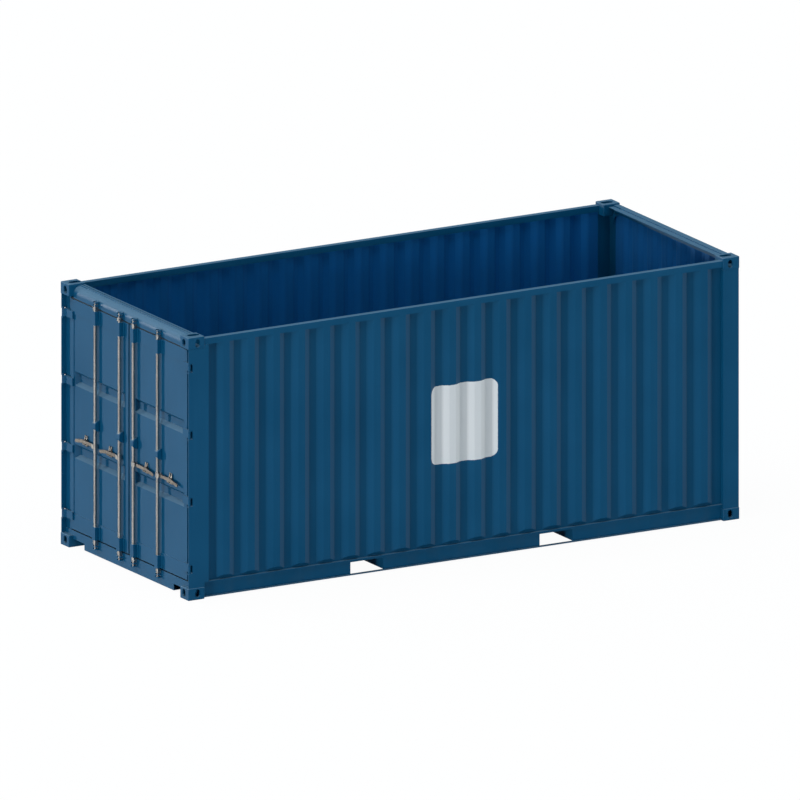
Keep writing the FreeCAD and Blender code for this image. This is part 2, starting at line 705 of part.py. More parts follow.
seal_x = (from_doors(s.leaf_face + s.seal_back), from_doors(s.leaf_face + s.seal_back + s.seal_thick))
seal_y = (leaf_y[0] - s.seal_lip, leaf_y[1] + s.seal_wide)
seal_block = box("seal_block", seal_x, seal_y, inset(leaf_z, -s.seal_wide))
seal_room = box("seal_room", inset(seal_x, -1), leaf_y, leaf_z)
keep_pair(cut("door_seal", seal_block, [seal_room]), "door_seal")

# Hinges: pins and lugs on the posts, cranked blades on the leaves.

pin_x = from_doors(s.pin_from_end)
pin_y = from_side(s.pin_from_side)
lug_x = (from_doors(s.post_inset), from_doors(s.post_inset) + s.lug_long)
lug_y = (post_inside - s.lug_wide, post_inside)
pins = []
for index in hinges:
    reach = s.blade_high / 2 + s.notch_play
    middle_z = hinge_z(index)
    pin = rod(f"hinge_pin_{index}", "z", pin_x, pin_y, middle_z - reach, s.pin_r, 2 * reach)
    lug_low = box(f"lug_low_{index}", lug_x, lug_y, (middle_z - reach - s.lug_high, middle_z - reach))
    lug_top = box(f"lug_top_{index}", lug_x, lug_y, (middle_z + reach, middle_z + reach + s.lug_high))
    pins.append(fuse(f"hinge_lugs_{index}", [pin, lug_low, lug_top]))
keep_both(group("hinge_pin_row", pins), "hinge_pins")

leaf_face_x = from_doors(s.leaf_face)
blade_face_x = leaf_face_x - s.blade_thick
blade_end_y = from_side(s.blade_from_side)
arm = s.arm_half
arm_outline = [(pin_x - arm, pin_y + arm), (pin_x - arm, pin_y - arm),
               (pin_x, pin_y - s.knuckle_r - s.crank_gap),
               (blade_face_x, pin_y - s.knuckle_r - s.blade_thick),
               (blade_face_x, blade_end_y), (leaf_face_x, blade_end_y),
               (leaf_face_x, pin_y - s.knuckle_r - s.blade_thick / 2),
               (pin_x + arm, pin_y + arm)]
blades = []
for index in hinges:
    low = hinge_z(index) - s.blade_high / 2
    knuckle = rod(f"knuckle_{index}", "z", pin_x, pin_y, low, s.knuckle_r, s.blade_high)
    strap = prism(f"hinge_arm_{index}", "XY", [arm_outline], low, s.blade_high)
    eye = rod(f"hinge_eye_{index}", "z", pin_x, pin_y, low - 1, s.pin_r + s.pin_play, s.blade_high + 2)
    blades.append(cut(f"hinge_blade_{index}", fuse(f"hinge_body_{index}", [strap, knuckle]), [eye]))
keep_pair(group("hinge_blades", blades), "hinge_blades")

# Lock bars: a tube, a cam on each end, and a slotted hub that the handle is pinned in.

bar_x = from_doors(s.bar_depth)
cam_ends = (("low", s.bracket_low_z - s.cam_bracket_gap - s.cam_high, -1),
            ("top", s.bracket_top_z + s.bracket_top_high + s.cam_bracket_gap, 1))
bar_low = cam_ends[0][1] + s.cam_high
bar_high = cam_ends[1][1] - bar_low


def bar_tube(name, bar_y):
    tube = rod(name + "_tube", "z", bar_x, bar_y, bar_low, s.bar_r, bar_high)
    bore = rod(name + "_bore", "z", bar_x, bar_y, bar_low - overcut, s.bar_r - s.bar_wall,
               bar_high + 2 * overcut)
    return cut(name, tube, [bore])


def bar_cam(name, bar_y, low, sign):
    """A drum with a nose towards the hinges, and a pin that runs on into the keeper."""
    drum = rod(name + "_drum", "z", bar_x, bar_y, low, s.cam_r, s.cam_high)
    nose = box(name + "_nose", (bar_x - s.cam_thick / 2, bar_x + s.cam_thick / 2),
               (bar_y, bar_y + s.cam_reach), inset((low, low + s.cam_high), s.cam_edge))
    pin_low = low + s.cam_high if sign > 0 else low - s.cam_pin_high
    pin = rod(name + "_pin", "z", bar_x, bar_y, pin_low, s.cam_pin_r, s.cam_pin_high)
    return fuse(name, [drum, nose, pin])


def handle_hub(name, bar_y):
    hub_z = (s.hub_z - s.hub_high / 2, s.hub_z + s.hub_high / 2)
    ring = rod(name + "_ring", "z", bar_x, bar_y, hub_z[0], s.hub_r, s.hub_high)
    block = box(name + "_block", (bar_x - s.hub_thick / 2, bar_x + s.hub_thick / 2),
                (bar_y, bar_y + s.hub_reach), hub_z)
    soft = rounded(name + "_soft", block, s.hub_round, lambda edge: edge.BoundBox.XLength > 1)
    bore = rod(name + "_bore", "z", bar_x, bar_y, hub_z[0] - overcut, s.bar_r + s.hub_play,
               s.hub_high + 2 * overcut)
    gap = box(name + "_gap", (bar_x - s.hub_slot / 2, bar_x + s.hub_slot / 2),
              (bar_y + s.handle_pin_y - s.handle_eye_r - overcut,
               bar_y + s.hub_reach + overcut), inset(hub_z, -overcut))
    pin = rod(name + "_pin", "x", bar_x - s.hub_thick / 2, bar_y + s.handle_pin_y, s.hub_z,
              s.handle_pin_r, s.hub_thick)
    return fuse(name, [cut(name + "_cut", fuse(name + "_solid", [ring, soft]), [bore, gap]), pin])


def bar_handle(name, bar_y):
    eye_y = bar_y + s.handle_pin_y
    thick_x = (bar_x - s.handle_thick / 2, bar_x + s.handle_thick / 2)
    eye = rod(name + "_eye", "x", thick_x[0], eye_y, s.hub_z, s.handle_eye_r, s.handle_thick)
    widen_y = bar_y + s.hub_reach + s.handle_root
    bend_y = bar_y + s.handle_bend_y
    end_handle = bar_y + s.handle_reach
    half = s.handle_high / 2
    tip_z = s.hub_z - s.handle_droop
    blade = prism(name + "_blade", "YZ", [
        [(eye_y, s.hub_z - s.handle_eye_r), (widen_y, s.hub_z - half), (bend_y, s.hub_z - half),
         (end_handle - half, tip_z - half), (end_handle, tip_z - half / 2),
         (end_handle, tip_z + half / 2), (end_handle - half, tip_z + half),
         (bend_y, s.hub_z + half), (widen_y, s.hub_z + half),
         (eye_y, s.hub_z + s.handle_eye_r)],
    ], thick_x[0], s.handle_thick)
    hole = rod(name + "_hole", "x", thick_x[0] - overcut, eye_y, s.hub_z,
               s.handle_pin_r + s.handle_pin_play, s.handle_thick + 2 * overcut)
    return cut(name, fuse(name + "_solid", [eye, blade]), [hole])


bar_places = (("inner", s.bar_inner_y), ("outer", s.bar_outer_y))
for label, bar_y in bar_places:
    keep_pair(bar_tube(f"lock_bar_{label}", bar_y), f"lock_bar_{label}")
    cams = [bar_cam(f"cam_{label}_{level}", bar_y, low, sign) for level, low, sign in cam_ends]
    keep_pair(group(f"bar_cams_{label}", cams), f"bar_cams_{label}")
    keep_pair(handle_hub(f"handle_hub_{label}", bar_y), f"handle_hub_{label}")
    keep_pair(bar_handle(f"bar_handle_{label}", bar_y), f"bar_handle_{label}")

# Bar brackets on the leaves: bored blocks on wide feet, and a round-backed one at mid height.

bracket_x = (from_doors(s.bracket_front), leaf_face_x)


def bracket_block(name, bar_y, low, high):
    block = box(name + "_block", bracket_x, (bar_y - s.bracket_half, bar_y + s.bracket_half),
                (low, low + high))
    foot = box(name + "_foot", (leaf_face_x - s.bracket_foot_thick, leaf_face_x),
               (bar_y - s.bracket_foot, bar_y + s.bracket_foot), (low, low + high))
    return fuse(name + "_body", [block, foot])


def bracket_dome(name, bar_y):
    """Half a drum lying across the leaf, its front flattened."""
    drum = rod(name + "_drum", "y", leaf_face_x, bar_y - s.bracket_half, s.bracket_mid_z,
               s.bracket_mid_r, 2 * s.bracket_half)
    room = box(name + "_room", bracket_x, (bar_y - s.bracket_foot, bar_y + s.bracket_foot),
               (s.bracket_mid_z - s.bracket_mid_r, s.bracket_mid_z + s.bracket_mid_r))
    dome = doc.addObject("Part::MultiCommon", name + "_body")
    dome.Shapes = [drum, room]
    return dome


brackets = []
for label, bar_y in bar_places:
    mid_low = s.bracket_mid_z - s.bracket_mid_r
    levels = (("low", s.bracket_low_z, s.bracket_low_high),
              ("mid", mid_low, 2 * s.bracket_mid_r),
              ("top", s.bracket_top_z, s.bracket_top_high))
    for level, low, high in levels:
        name = f"bracket_{label}_{level}"
        body = bracket_dome(name, bar_y) if level == "mid" else bracket_block(name, bar_y, low, high)
        bore = rod(name + "_bore", "z", bar_x, bar_y, low - overcut, s.bar_r + s.bracket_play,
                   high + 2 * overcut)
        brackets.append(cut(name, body, [bore]))
keep_pair(group("bar_brackets", brackets), "bar_brackets")

# Keepers: a plate with two jaws past each cam, notched at the front for the cam's pin.

def keeper(name, bar_y, low):
    """One keeper with its foot at this height."""
    keeper_y = (bar_y - s.keeper_half, bar_y + s.keeper_half)
    keeper_z = (low, low + s.keeper_high)
    block = box(name + "_block", (from_doors(s.keeper_front), sill_front), keeper_y, keeper_z)
    soft = rounded(name + "_soft", block, s.keeper_round,
                   lambda edge: edge.BoundBox.XMax < sill_front.value - 1)
    between = box(name + "_between", (-half_length, sill_front - s.keeper_plate),
                  inset(keeper_y, -overcut), inset(keeper_z, s.keeper_jaw))
    mouth_r = s.cam_pin_r + s.keeper_play
    mouth_end = rod(name + "_mouth_end", "z", bar_x, bar_y, low - overcut, mouth_r,
                    s.keeper_high + 2 * overcut)
    mouth = box(name + "_mouth", (-half_length, bar_x), (bar_y - mouth_r, bar_y + mouth_r),
                inset(keeper_z, -overcut))
    return cut(name, soft, [between, mouth_end, mouth])


keepers = []
for label, bar_y in bar_places:
    for level, cam_low, sign in cam_ends:
        low = cam_low + s.cam_high + s.keeper_play
        if sign < 0:
            low = cam_low - s.keeper_play - s.keeper_high
        keepers.append(keeper(f"keeper_{label}_{level}", bar_y, low))
keep_both(group("keepers", keepers), "cam_keepers")

# Handle catches: a shelf on the leaf with two prongs behind the handle.

def catch_prong(name, low_y, low, top):
    """A bent strip from behind the handle up and back to the leaf."""
    front = leaf_face_x - s.catch_plate - s.prong_lean
    return prism(name, "XZ", [
        [(front, low), (front + s.prong_thick, low), (leaf_face_x, top),
         (leaf_face_x - s.prong_thick, top)],
    ], -low_y - s.prong_wide, s.prong_wide)


catches = []
for label, bar_y in bar_places:
    name = f"catch_{label}"
    middle_y = bar_y + s.catch_y
    span_y = (middle_y - s.catch_wide / 2, middle_y + s.catch_wide / 2)
    shelf_top = s.hub_z - s.handle_high / 2 - s.catch_play
    shelf = box(name + "_shelf", (from_doors(s.catch_front), leaf_face_x), span_y,
                (shelf_top - s.catch_shelf, shelf_top))
    plate = box(name + "_plate", (leaf_face_x - s.catch_plate, leaf_face_x + s.panel_set_back),
                span_y, (shelf_top - s.catch_plate_drop, shelf_top + s.handle_high))
    prongs = [catch_prong(f"{name}_prong_{end}", low_y, shelf_top + s.handle_high / 2,
                          shelf_top + s.handle_high + s.prong_high)
              for end, low_y in (("near", span_y[0]), ("far", span_y[1] - s.prong_wide))]
    catches.append(fuse(name, [shelf, plate] + prongs))
keep_pair(group("handle_catches", catches), "handle_catches")

doc.recompute()
for obj in doc.Objects:
    if "Invalid" in obj.State or "Error" in obj.State:
        raise RuntimeError(f"{obj.Name} failed: {obj.State}")
for obj in sub_parts:
    if obj.Shape.isNull() or not obj.Shape.isValid():
        raise RuntimeError(f"{obj.Label} has no valid shape")

os.makedirs("parts", exist_ok=True)
for obj in sub_parts:
    obj.Shape.exportStep(f"parts/{obj.Label}.step")
    print(obj.Label, len(obj.Shape.Solids), round(obj.Shape.Volume / 1e6, 3))
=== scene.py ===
import bpy
import json
import math
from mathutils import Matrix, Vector


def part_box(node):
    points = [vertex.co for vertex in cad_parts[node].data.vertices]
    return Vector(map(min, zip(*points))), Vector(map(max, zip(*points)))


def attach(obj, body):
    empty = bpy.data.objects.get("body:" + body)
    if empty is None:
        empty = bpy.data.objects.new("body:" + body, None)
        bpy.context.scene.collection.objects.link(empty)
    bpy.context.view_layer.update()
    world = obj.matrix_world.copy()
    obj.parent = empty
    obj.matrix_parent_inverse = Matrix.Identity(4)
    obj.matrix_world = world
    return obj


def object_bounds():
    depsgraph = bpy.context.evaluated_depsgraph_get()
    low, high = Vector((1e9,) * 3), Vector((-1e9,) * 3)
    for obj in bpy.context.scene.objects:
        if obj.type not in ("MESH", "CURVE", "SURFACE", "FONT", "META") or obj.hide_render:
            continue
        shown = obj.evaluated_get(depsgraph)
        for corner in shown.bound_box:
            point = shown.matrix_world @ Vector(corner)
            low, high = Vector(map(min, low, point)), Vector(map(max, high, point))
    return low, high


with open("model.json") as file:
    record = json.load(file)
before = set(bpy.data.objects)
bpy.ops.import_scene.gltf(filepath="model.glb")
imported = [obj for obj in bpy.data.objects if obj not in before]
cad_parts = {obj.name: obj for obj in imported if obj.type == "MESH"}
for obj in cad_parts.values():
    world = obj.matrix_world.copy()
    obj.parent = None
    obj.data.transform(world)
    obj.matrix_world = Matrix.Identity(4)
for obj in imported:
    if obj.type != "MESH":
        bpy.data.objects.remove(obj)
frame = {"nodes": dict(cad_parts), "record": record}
cadLow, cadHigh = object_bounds()
nodes = frame["nodes"]
record = frame["record"]
print("frame loaded:", len(nodes), "nodes")


# small helpers

def onlySelect(obj):
    bpy.ops.object.select_all(action="DESELECT")
    obj.select_set(True)
    bpy.context.view_layer.objects.active = obj


def addNode(tree, kind, **values):
    node = tree.nodes.new(kind)
    for name, value in values.items():
        setattr(node, name, value)
    return node


def link(tree, output, socket):
    tree.links.new(output, socket)


def settle(obj):  # place and turn go into the mesh, so the object stays at the origin
    onlySelect(obj)
    bpy.ops.object.transform_apply(location=True, rotation=True, scale=True)


def finishPiece(obj, body, material):
    settle(obj)
    obj.data.materials.clear()
    obj.data.materials.append(material)
    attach(obj, body)


# camera, floor and light

cameraLook = {"azimuth": -30, "elevation": 15, "orthoScale": 7.617, "distance": 25}
studioLight = {
    "suns": {  # the way each one shines, its strength, its width in degrees and its tint
        "keySun": {"toward": (0.61, -0.79, -0.055), "power": 1.3, "width": 3,
                   "tint": (1, 0.99, 0.95), "shine": True},
        "sideSun": {"toward": (0.94, 0.33, -0.03), "power": 1.2, "width": 10,
                    "tint": (1, 1, 1), "shine": True},
        "frontSun": {"toward": (0, 0.97, 0.0), "power": 0.9, "width": 50,
                     "tint": (0.88, 0.95, 1), "shine": False},
        "rimSun": {"toward": (-0.93, 0.34, 0.02), "power": 0.5, "width": 20,
                   "tint": (1, 0.95, 0.85), "shine": True},
        "topSun": {"toward": (0.1, 0.1, -1), "power": 2.3, "width": 70,
                   "tint": (0.8, 0.95, 1), "shine": False},
        "doorTopSun": {"toward": (0.5, 0, -1), "power": 0.6, "width": 40,
                       "tint": (1, 1, 1), "shine": True},
        "backTopSun": {"toward": (0.2, -0.8, -0.6), "power": 0.7, "width": 50,
                       "tint": (0.8, 0.95, 1), "shine": False},
    },
    # the sky's colours from the side of the camera over to the far side
    "sky": ((0.3, (0.01, 0.02, 0.04, 1)), (0.55, (0.02, 0.03, 0.05, 1)),
            (0.85, (0.06, 0.07, 0.09, 1))),
    "skyToward": (-0.15, 0.85, 0.5),
}
floorLook = {
    "size": 60, "drop": 0.002, "white": 1.0, "shade": 0.04,
    "pale": (0.9, 0.9, 0.9, 1), "bounce": (0.42, 0.44, 0.47, 1),
}


def makeCamera(look):
    azimuth = math.radians(look["azimuth"])
    elevation = math.radians(look["elevation"])
    middle = (cadLow + cadHigh) / 2
    back = Vector((math.sin(azimuth) * math.cos(elevation), -math.cos(azimuth) * math.cos(elevation),
                   math.sin(elevation)))
    bpy.ops.object.camera_add(location=middle + back * look["distance"])
    camera = bpy.context.object
    camera.name = "studioCamera"
    camera.rotation_mode = "QUATERNION"
    camera.rotation_quaternion = (-back).to_track_quat("-Z", "Y")
    camera.data.type = "ORTHO"
    camera.data.ortho_scale = look["orthoScale"]
    camera.data.clip_end = 4 * look["distance"]
    bpy.context.scene.camera = camera


def makeSun(name, look):
    bpy.ops.object.light_add(type="SUN", location=(0, 0, 6))
    sun = bpy.context.object
    sun.name = name
    sun.rotation_mode = "QUATERNION"
    sun.rotation_quaternion = Vector(look["toward"]).to_track_quat("-Z", "Y")
    sun.data.energy = look["power"]
    sun.data.angle = math.radians(look["width"])
    sun.data.color = look["tint"]
    sun.visible_glossy = look["shine"]


def makeSky(light):  # a dim dome, lighter over the far side, and plain white to the camera
    world = bpy.data.worlds.new("studioSky")
    bpy.context.scene.world = world
    world.use_nodes = True
    tree = world.node_tree
    tree.nodes.clear()
    coord = addNode(tree, "ShaderNodeTexCoord")
    along = addNode(tree, "ShaderNodeVectorMath", operation="DOT_PRODUCT")
    along.inputs[1].default_value = light["skyToward"]
    ramp = addNode(tree, "ShaderNodeValToRGB")
    stops = ramp.color_ramp.elements
    stops.new(0.5)
    for stop, (place, color) in zip(stops, light["sky"]):
        stop.position = place
        stop.color = color
    half = addNode(tree, "ShaderNodeMath", operation="MULTIPLY_ADD")  # from -1..1 to 0..1
    half.inputs[1].default_value = 0.5
    half.inputs[2].default_value = 0.5
    path = addNode(tree, "ShaderNodeLightPath")
    dome = addNode(tree, "ShaderNodeBackground")
    white = addNode(tree, "ShaderNodeBackground")
    white.inputs["Color"].default_value = (1, 1, 1, 1)
    mix = addNode(tree, "ShaderNodeMixShader")
    out = addNode(tree, "ShaderNodeOutputWorld")
    link(tree, coord.outputs["Generated"], along.inputs[0])
    link(tree, along.outputs["Value"], half.inputs[0])
    link(tree, half.outputs[0], ramp.inputs["Fac"])
    link(tree, ramp.outputs["Color"], dome.inputs["Color"])
    link(tree, path.outputs["Is Camera Ray"], mix.inputs["Fac"])
    link(tree, dome.outputs[0], mix.inputs[1])
    link(tree, white.outputs[0], mix.inputs[2])
    link(tree, mix.outputs[0], out.inputs["Surface"])


def makeFloor(look):  # white to the camera, with a faint shadow, and it blocks no light itself
    bpy.ops.mesh.primitive_plane_add(size=look["size"], location=(0, 0, cadLow.z - look["drop"]))
    floor = bpy.context.object
    floor.name = "studioFloor"
    material = bpy.data.materials.new("paleFloor")
    material.use_nodes = True
    tree = material.node_tree
    tree.nodes.clear()
    path = addNode(tree, "ShaderNodeLightPath")
    glow = addNode(tree, "ShaderNodeEmission")
    glow.inputs["Color"].default_value = (1, 1, 1, 1)
    glow.inputs["Strength"].default_value = look["white"]
    pale = addNode(tree, "ShaderNodeBsdfDiffuse")
    pale.inputs["Color"].default_value = look["pale"]
    seen = addNode(tree, "ShaderNodeMixShader")
    seen.inputs["Fac"].default_value = look["shade"]
    bounce = addNode(tree, "ShaderNodeBsdfDiffuse")
    bounce.inputs["Color"].default_value = look["bounce"]
    mix = addNode(tree, "ShaderNodeMixShader")
    out = addNode(tree, "ShaderNodeOutputMaterial")
    link(tree, glow.outputs[0], seen.inputs[1])
    link(tree, pale.outputs[0], seen.inputs[2])
    link(tree, path.outputs["Is Camera Ray"], mix.inputs["Fac"])
    link(tree, bounce.outputs[0], mix.inputs[1])
    link(tree, seen.outputs[0], mix.inputs[2])
    link(tree, mix.outputs[0], out.inputs["Surface"])
    floor.data.materials.append(material)
    floor.visible_glossy = False
    floor.visible_shadow = False


makeCamera(cameraLook)
makeSky(studioLight)
for sunName, sunLook in studioLight["suns"].items():
    makeSun(sunName, sunLook)
makeFloor(floorLook)
bpy.context.scene.view_settings.view_transform = "Standard"
print("camera, floor and light ready")


# effects that several finishes use

def newGroup(name, inputs, outputs):
    tree = bpy.data.node_groups.new(name, "ShaderNodeTree")
    for label, kind, value in inputs:
        socket = tree.interface.new_socket(label, in_out="INPUT", socket_type=kind)
        socket.default_value = value
    for label, kind in outputs:
        tree.interface.new_socket(label, in_out="OUTPUT", socket_type=kind)
    return tree, addNode(tree, "NodeGroupInput"), addNode(tree, "NodeGroupOutput")


def noiseAt(tree, vector, scale, detail, stretch=(1, 1, 1)):
    mapping = addNode(tree, "ShaderNodeMapping")
    mapping.inputs["Scale"].default_value = stretch
    noise = addNode(tree, "ShaderNodeTexNoise")
    noise.inputs["Scale"].default_value = scale
    noise.inputs["Detail"].default_value = detail
    link(tree, vector, mapping.inputs["Vector"])
    link(tree, mapping.outputs[0], noise.inputs["Vector"])
    return noise.outputs["Fac"]


def remap(tree, value, low, high, outLow=0.0, outHigh=1.0):
    node = addNode(tree, "ShaderNodeMapRange")
    node.inputs["From Min"].default_value = low
    node.inputs["From Max"].default_value = high
    node.inputs["To Min"].default_value = outLow
    node.inputs["To Max"].default_value = outHigh
    link(tree, value, node.inputs["Value"])
    return node.outputs[0]


def combine(tree, operation, first, second):
    node = addNode(tree, "ShaderNodeMath", operation=operation)
    for socket, value in zip(node.inputs, (first, second)):
        if isinstance(value, (int, float)):
            socket.default_value = value
        else:
            link(tree, value, socket)
    return node.outputs[0]


def mixColor(tree, factor, first, second):
    node = addNode(tree, "ShaderNodeMix", data_type="RGBA")
    for socket, value in ((node.inputs[0], factor), (node.inputs[6], first), (node.inputs[7], second)):
        if isinstance(value, (int, float, tuple)):
            socket.default_value = value
        else:
            link(tree, value, socket)
    return node.outputs[2]


weatherLook = {
    "cloudScale": 1.6, "cloudDetail": 5,
    "streakScale": 14, "streakDetail": 3, "streakStretch": (1, 1, 0.06), "streakRange": (0.56, 0.75),
    "grainScale": 260, "grainDetail": 2, "splashScale": 9, "splashDetail": 6, "splashRange": (0.42, 0.68),
    "waveScale": 3.1, "waveDetail": 1,
}


def makeWeatherGroup(look):  # slow clouds, thin rain streaks, fine grain and dust that gathers low down
    tree, start, end = newGroup(
        "seaWeather", [("Dust Height", "NodeSocketFloat", 0.35)],
        [("Clouds", "NodeSocketFloat"), ("Streaks", "NodeSocketFloat"),
         ("Grain", "NodeSocketFloat"), ("Dust", "NodeSocketFloat"), ("Waves", "NodeSocketFloat")])
    coord = addNode(tree, "ShaderNodeTexCoord").outputs["Object"]
    clouds = noiseAt(tree, coord, look["cloudScale"], look["cloudDetail"])
    streakNoise = noiseAt(tree, coord, look["streakScale"], look["streakDetail"], look["streakStretch"])
    streaks = remap(tree, streakNoise, *look["streakRange"])
    grain = noiseAt(tree, coord, look["grainScale"], look["grainDetail"])
    split = addNode(tree, "ShaderNodeSeparateXYZ")
    link(tree, coord, split.inputs[0])
    near = addNode(tree, "ShaderNodeMapRange")
    link(tree, split.outputs["Z"], near.inputs["Value"])
    near.inputs["From Min"].default_value = 0.0
    link(tree, start.outputs["Dust Height"], near.inputs["From Max"])
    near.inputs["To Min"].default_value = 1.0
    near.inputs["To Max"].default_value = 0.0
    splashNoise = noiseAt(tree, coord, look["splashScale"], look["splashDetail"])
    splash = remap(tree, splashNoise, *look["splashRange"])
    dust = combine(tree, "MULTIPLY", near.outputs[0], splash)
    waves = noiseAt(tree, coord, look["waveScale"], look["waveDetail"])
    for socket, value in zip(end.inputs, (clouds, streaks, grain, dust, waves)):
        link(tree, value, socket)
    return tree


weather = makeWeatherGroup(weatherLook)


def startMaterial(name, roughness=None, metallic=None, specular=None):
    material = bpy.data.materials.new(name)
    material.use_nodes = True
    tree = material.node_tree
    shader = next(node for node in tree.nodes if node.type == "BSDF_PRINCIPLED")
    for label, value in (("Roughness", roughness), ("Metallic", metallic),
                         ("Specular IOR Level", specular)):
        if value is not None:
            shader.inputs[label].default_value = value
    return material, tree, shader


def placeWeather(tree, dustHeight):
    node = addNode(tree, "ShaderNodeGroup", node_tree=weather)
    node.inputs["Dust Height"].default_value = dustHeight
    return node.outputs


def addBump(tree, shader, height, strength, distance, below=None):
    bump = addNode(tree, "ShaderNodeBump")
    bump.inputs["Strength"].default_value = strength
    bump.inputs["Distance"].default_value = distance
    link(tree, height, bump.inputs["Height"])
    if below is not None:
        link(tree, below, bump.inputs["Normal"])
    if shader is not None:
        link(tree, bump.outputs[0], shader.inputs["Normal"])
    return bump.outputs[0]


# finishes

bluePaint = {
    "color": (0.0002, 0.077, 0.175, 1), "deep": (0.0002, 0.07, 0.16, 1), "faded": (0.002, 0.09, 0.2, 1),
    "dust": (0.07, 0.09, 0.1, 1), "dustAmount": 0.12, "dustHeight": 0.3, "streakAmount": 0.35,
    "specular": 0.28, "roughLow": 0.42, "roughHigh": 0.55,
    "colorRange": (0.35, 0.65), "roughRange": (0.3, 0.7),
    "waveBump": (0.25, 0.004), "grainBump": (0.08, 0.0006),
    # painted shade: the inside faces of the walls take a more saturated blue that stands in for the bluish
    # shade inside the box; they are also duller
    "inner": (0.0002, 0.115, 0.35, 1), "innerRough": 0.85, "innerFacing": (0.2, 0.4), "frontDeep": 0.1,
    # painted shade between the ridges: how dark the deep flats are painted, and the depth over which it
    # fades in
    "valleyShadeLevel": 0.84, "valleyDepth": (0.034, 0.044),
    # painted light: faces that look up are lightened toward a pale blue, for the top light and sheen they
    # catch
    "paintedTopLight": (0.12, 0.2, 0.27, 1), "paintedTopLightAmount": 0.55, "paintedTopLightSlope": (0.25, 0.6),
}
whitePanel = {  # plain blank panel painted on the right side, over the ridges
    "color": (0.74, 0.74, 0.74, 1), "low": (-0.349, 0.968), "high": (0.383, 1.740), "round": 0.075,
    "worn": 0.0015, "wornScale": 60, "wornDetail": 3, "wornRange": (0.3, 0.7),
    "rightOf": -1.0, "outward": -0.2,  # only the right wall's outer face takes the panel
}
zincSteel = {
    "color": (0.5, 0.48, 0.45, 1), "bright": (0.66, 0.64, 0.6, 1), "dull": (0.34, 0.31, 0.28, 1),
    "metallic": 1.0, "roughLow": 0.36, "roughHigh": 0.52,
}
steelGrain = {  # spangles, dull clouds and grain that both steels share
    "spangleScale": 85, "dullRange": (0.45, 0.75), "dullAmount": 0.7, "roughRange": (0.3, 0.7),
    "dustHeight": 0.25, "grainBump": (0.12, 0.0005),
}
wornSteel = {  # the handles and their catches, rubbed and rusty
    "color": (0.22, 0.19, 0.165, 1), "bright": (0.4, 0.37, 0.33, 1), "dull": (0.06, 0.045, 0.035, 1),
    "metallic": 1.0, "roughLow": 0.42, "roughHigh": 0.62,
}
sealRubber = {
    "color": (0.018, 0.019, 0.021, 1), "gray": (0.05, 0.052, 0.055, 1), "grayRange": (0.4, 0.8),
    "grayAmount": 0.8, "roughness": 0.72, "specular": 0.3, "dustHeight": 0.4, "grainBump": (0.2, 0.0008),
}
plywood = {
    "light": (0.22, 0.15, 0.09, 1), "dark": (0.12, 0.075, 0.045, 1), "scuff": (0.06, 0.045, 0.035, 1),
    "specular": 0.25, "roughLow": 0.5, "roughHigh": 0.75, "grainBump": (0.25, 0.0012),
    "fibreScale": 22, "fibreDetail": 6, "fibreStretch": (0.12, 2.2, 1), "fibreRange": (0.3, 0.7),
    "ringScale": 3.2, "ringDetail": 3, "ringStretch": (0.5, 2.6, 1), "ringRange": (0.45, 0.6),
    "ringAmount": 0.45, "scuffScale": 5, "scuffDetail": 8, "scuffStretch": (0.5, 1, 1),
    "scuffRange": (0.52, 0.68), "scuffAmount": 0.6,
}


def paintColor(tree, outputs, paint):
    patchy = remap(tree, outputs["Clouds"], *paint["colorRange"])
    body = mixColor(tree, patchy, paint["deep"], paint["color"])
    streaked = combine(tree, "MULTIPLY", outputs["Streaks"], paint["streakAmount"])
    faded = mixColor(tree, streaked, body, paint["faded"])
    splashed = combine(tree, "MULTIPLY", outputs["Dust"], paint["dustAmount"])
    dusty = mixColor(tree, splashed, faded, paint["dust"])
    facing = addNode(tree, "ShaderNodeSeparateXYZ")
    link(tree, addNode(tree, "ShaderNodeNewGeometry").outputs["True Normal"], facing.inputs[0])
    # painted light: faces that look up are lightened toward a pale blue, as if lit from above
    paintedTopLight = remap(tree, facing.outputs["Z"], *paint["paintedTopLightSlope"], 0, paint["paintedTopLightAmount"])
    return mixColor(tree, paintedTopLight, dusty, paint["paintedTopLight"])


def finishPaint(tree, shader, outputs, color, paint, matte=0):
    link(tree, color, shader.inputs["Base Color"])
    rough = remap(tree, outputs["Clouds"], *paint["roughRange"], paint["roughLow"], paint["roughHigh"])
    link(tree, combine(tree, "MAXIMUM", rough, matte), shader.inputs["Roughness"])
    wavy = addBump(tree, None, outputs["Waves"], *paint["waveBump"])
    addBump(tree, shader, outputs["Grain"], *paint["grainBump"], wavy)


def makeBluePaint(paint):
    material, tree, shader = startMaterial("bluePaint", specular=paint["specular"])
    outputs = placeWeather(tree, paint["dustHeight"])
    finishPaint(tree, shader, outputs, paintColor(tree, outputs, paint), paint)
    return material


def panelMask(tree, coord, place, facing, panel):  # a rounded rectangle with a slightly worn edge
    edgeNoise = noiseAt(tree, coord, panel["wornScale"], panel["wornDetail"])
    edge = remap(tree, edgeNoise, *panel["wornRange"], -panel["worn"], panel["worn"])
    outward = []
    for axis, low, high in zip("XZ", panel["low"], panel["high"]):
        value = combine(tree, "ADD", place[axis], edge)
        fromMiddle = combine(tree, "ABSOLUTE", combine(tree, "SUBTRACT", value, (low + high) / 2), 0)
        past = combine(tree, "SUBTRACT", fromMiddle, (high - low) / 2 - panel["round"])
        outward.append(combine(tree, "POWER", combine(tree, "MAXIMUM", past, 0), 2))
    cornerReach = combine(tree, "ADD", *outward)
    onWall = combine(tree, "LESS_THAN", place["Y"], panel["rightOf"])
    mask = combine(tree, "MULTIPLY", onWall, combine(tree, "LESS_THAN", cornerReach, panel["round"] ** 2))
    return combine(tree, "MULTIPLY", mask, combine(tree, "LESS_THAN", facing["Y"], panel["outward"]))


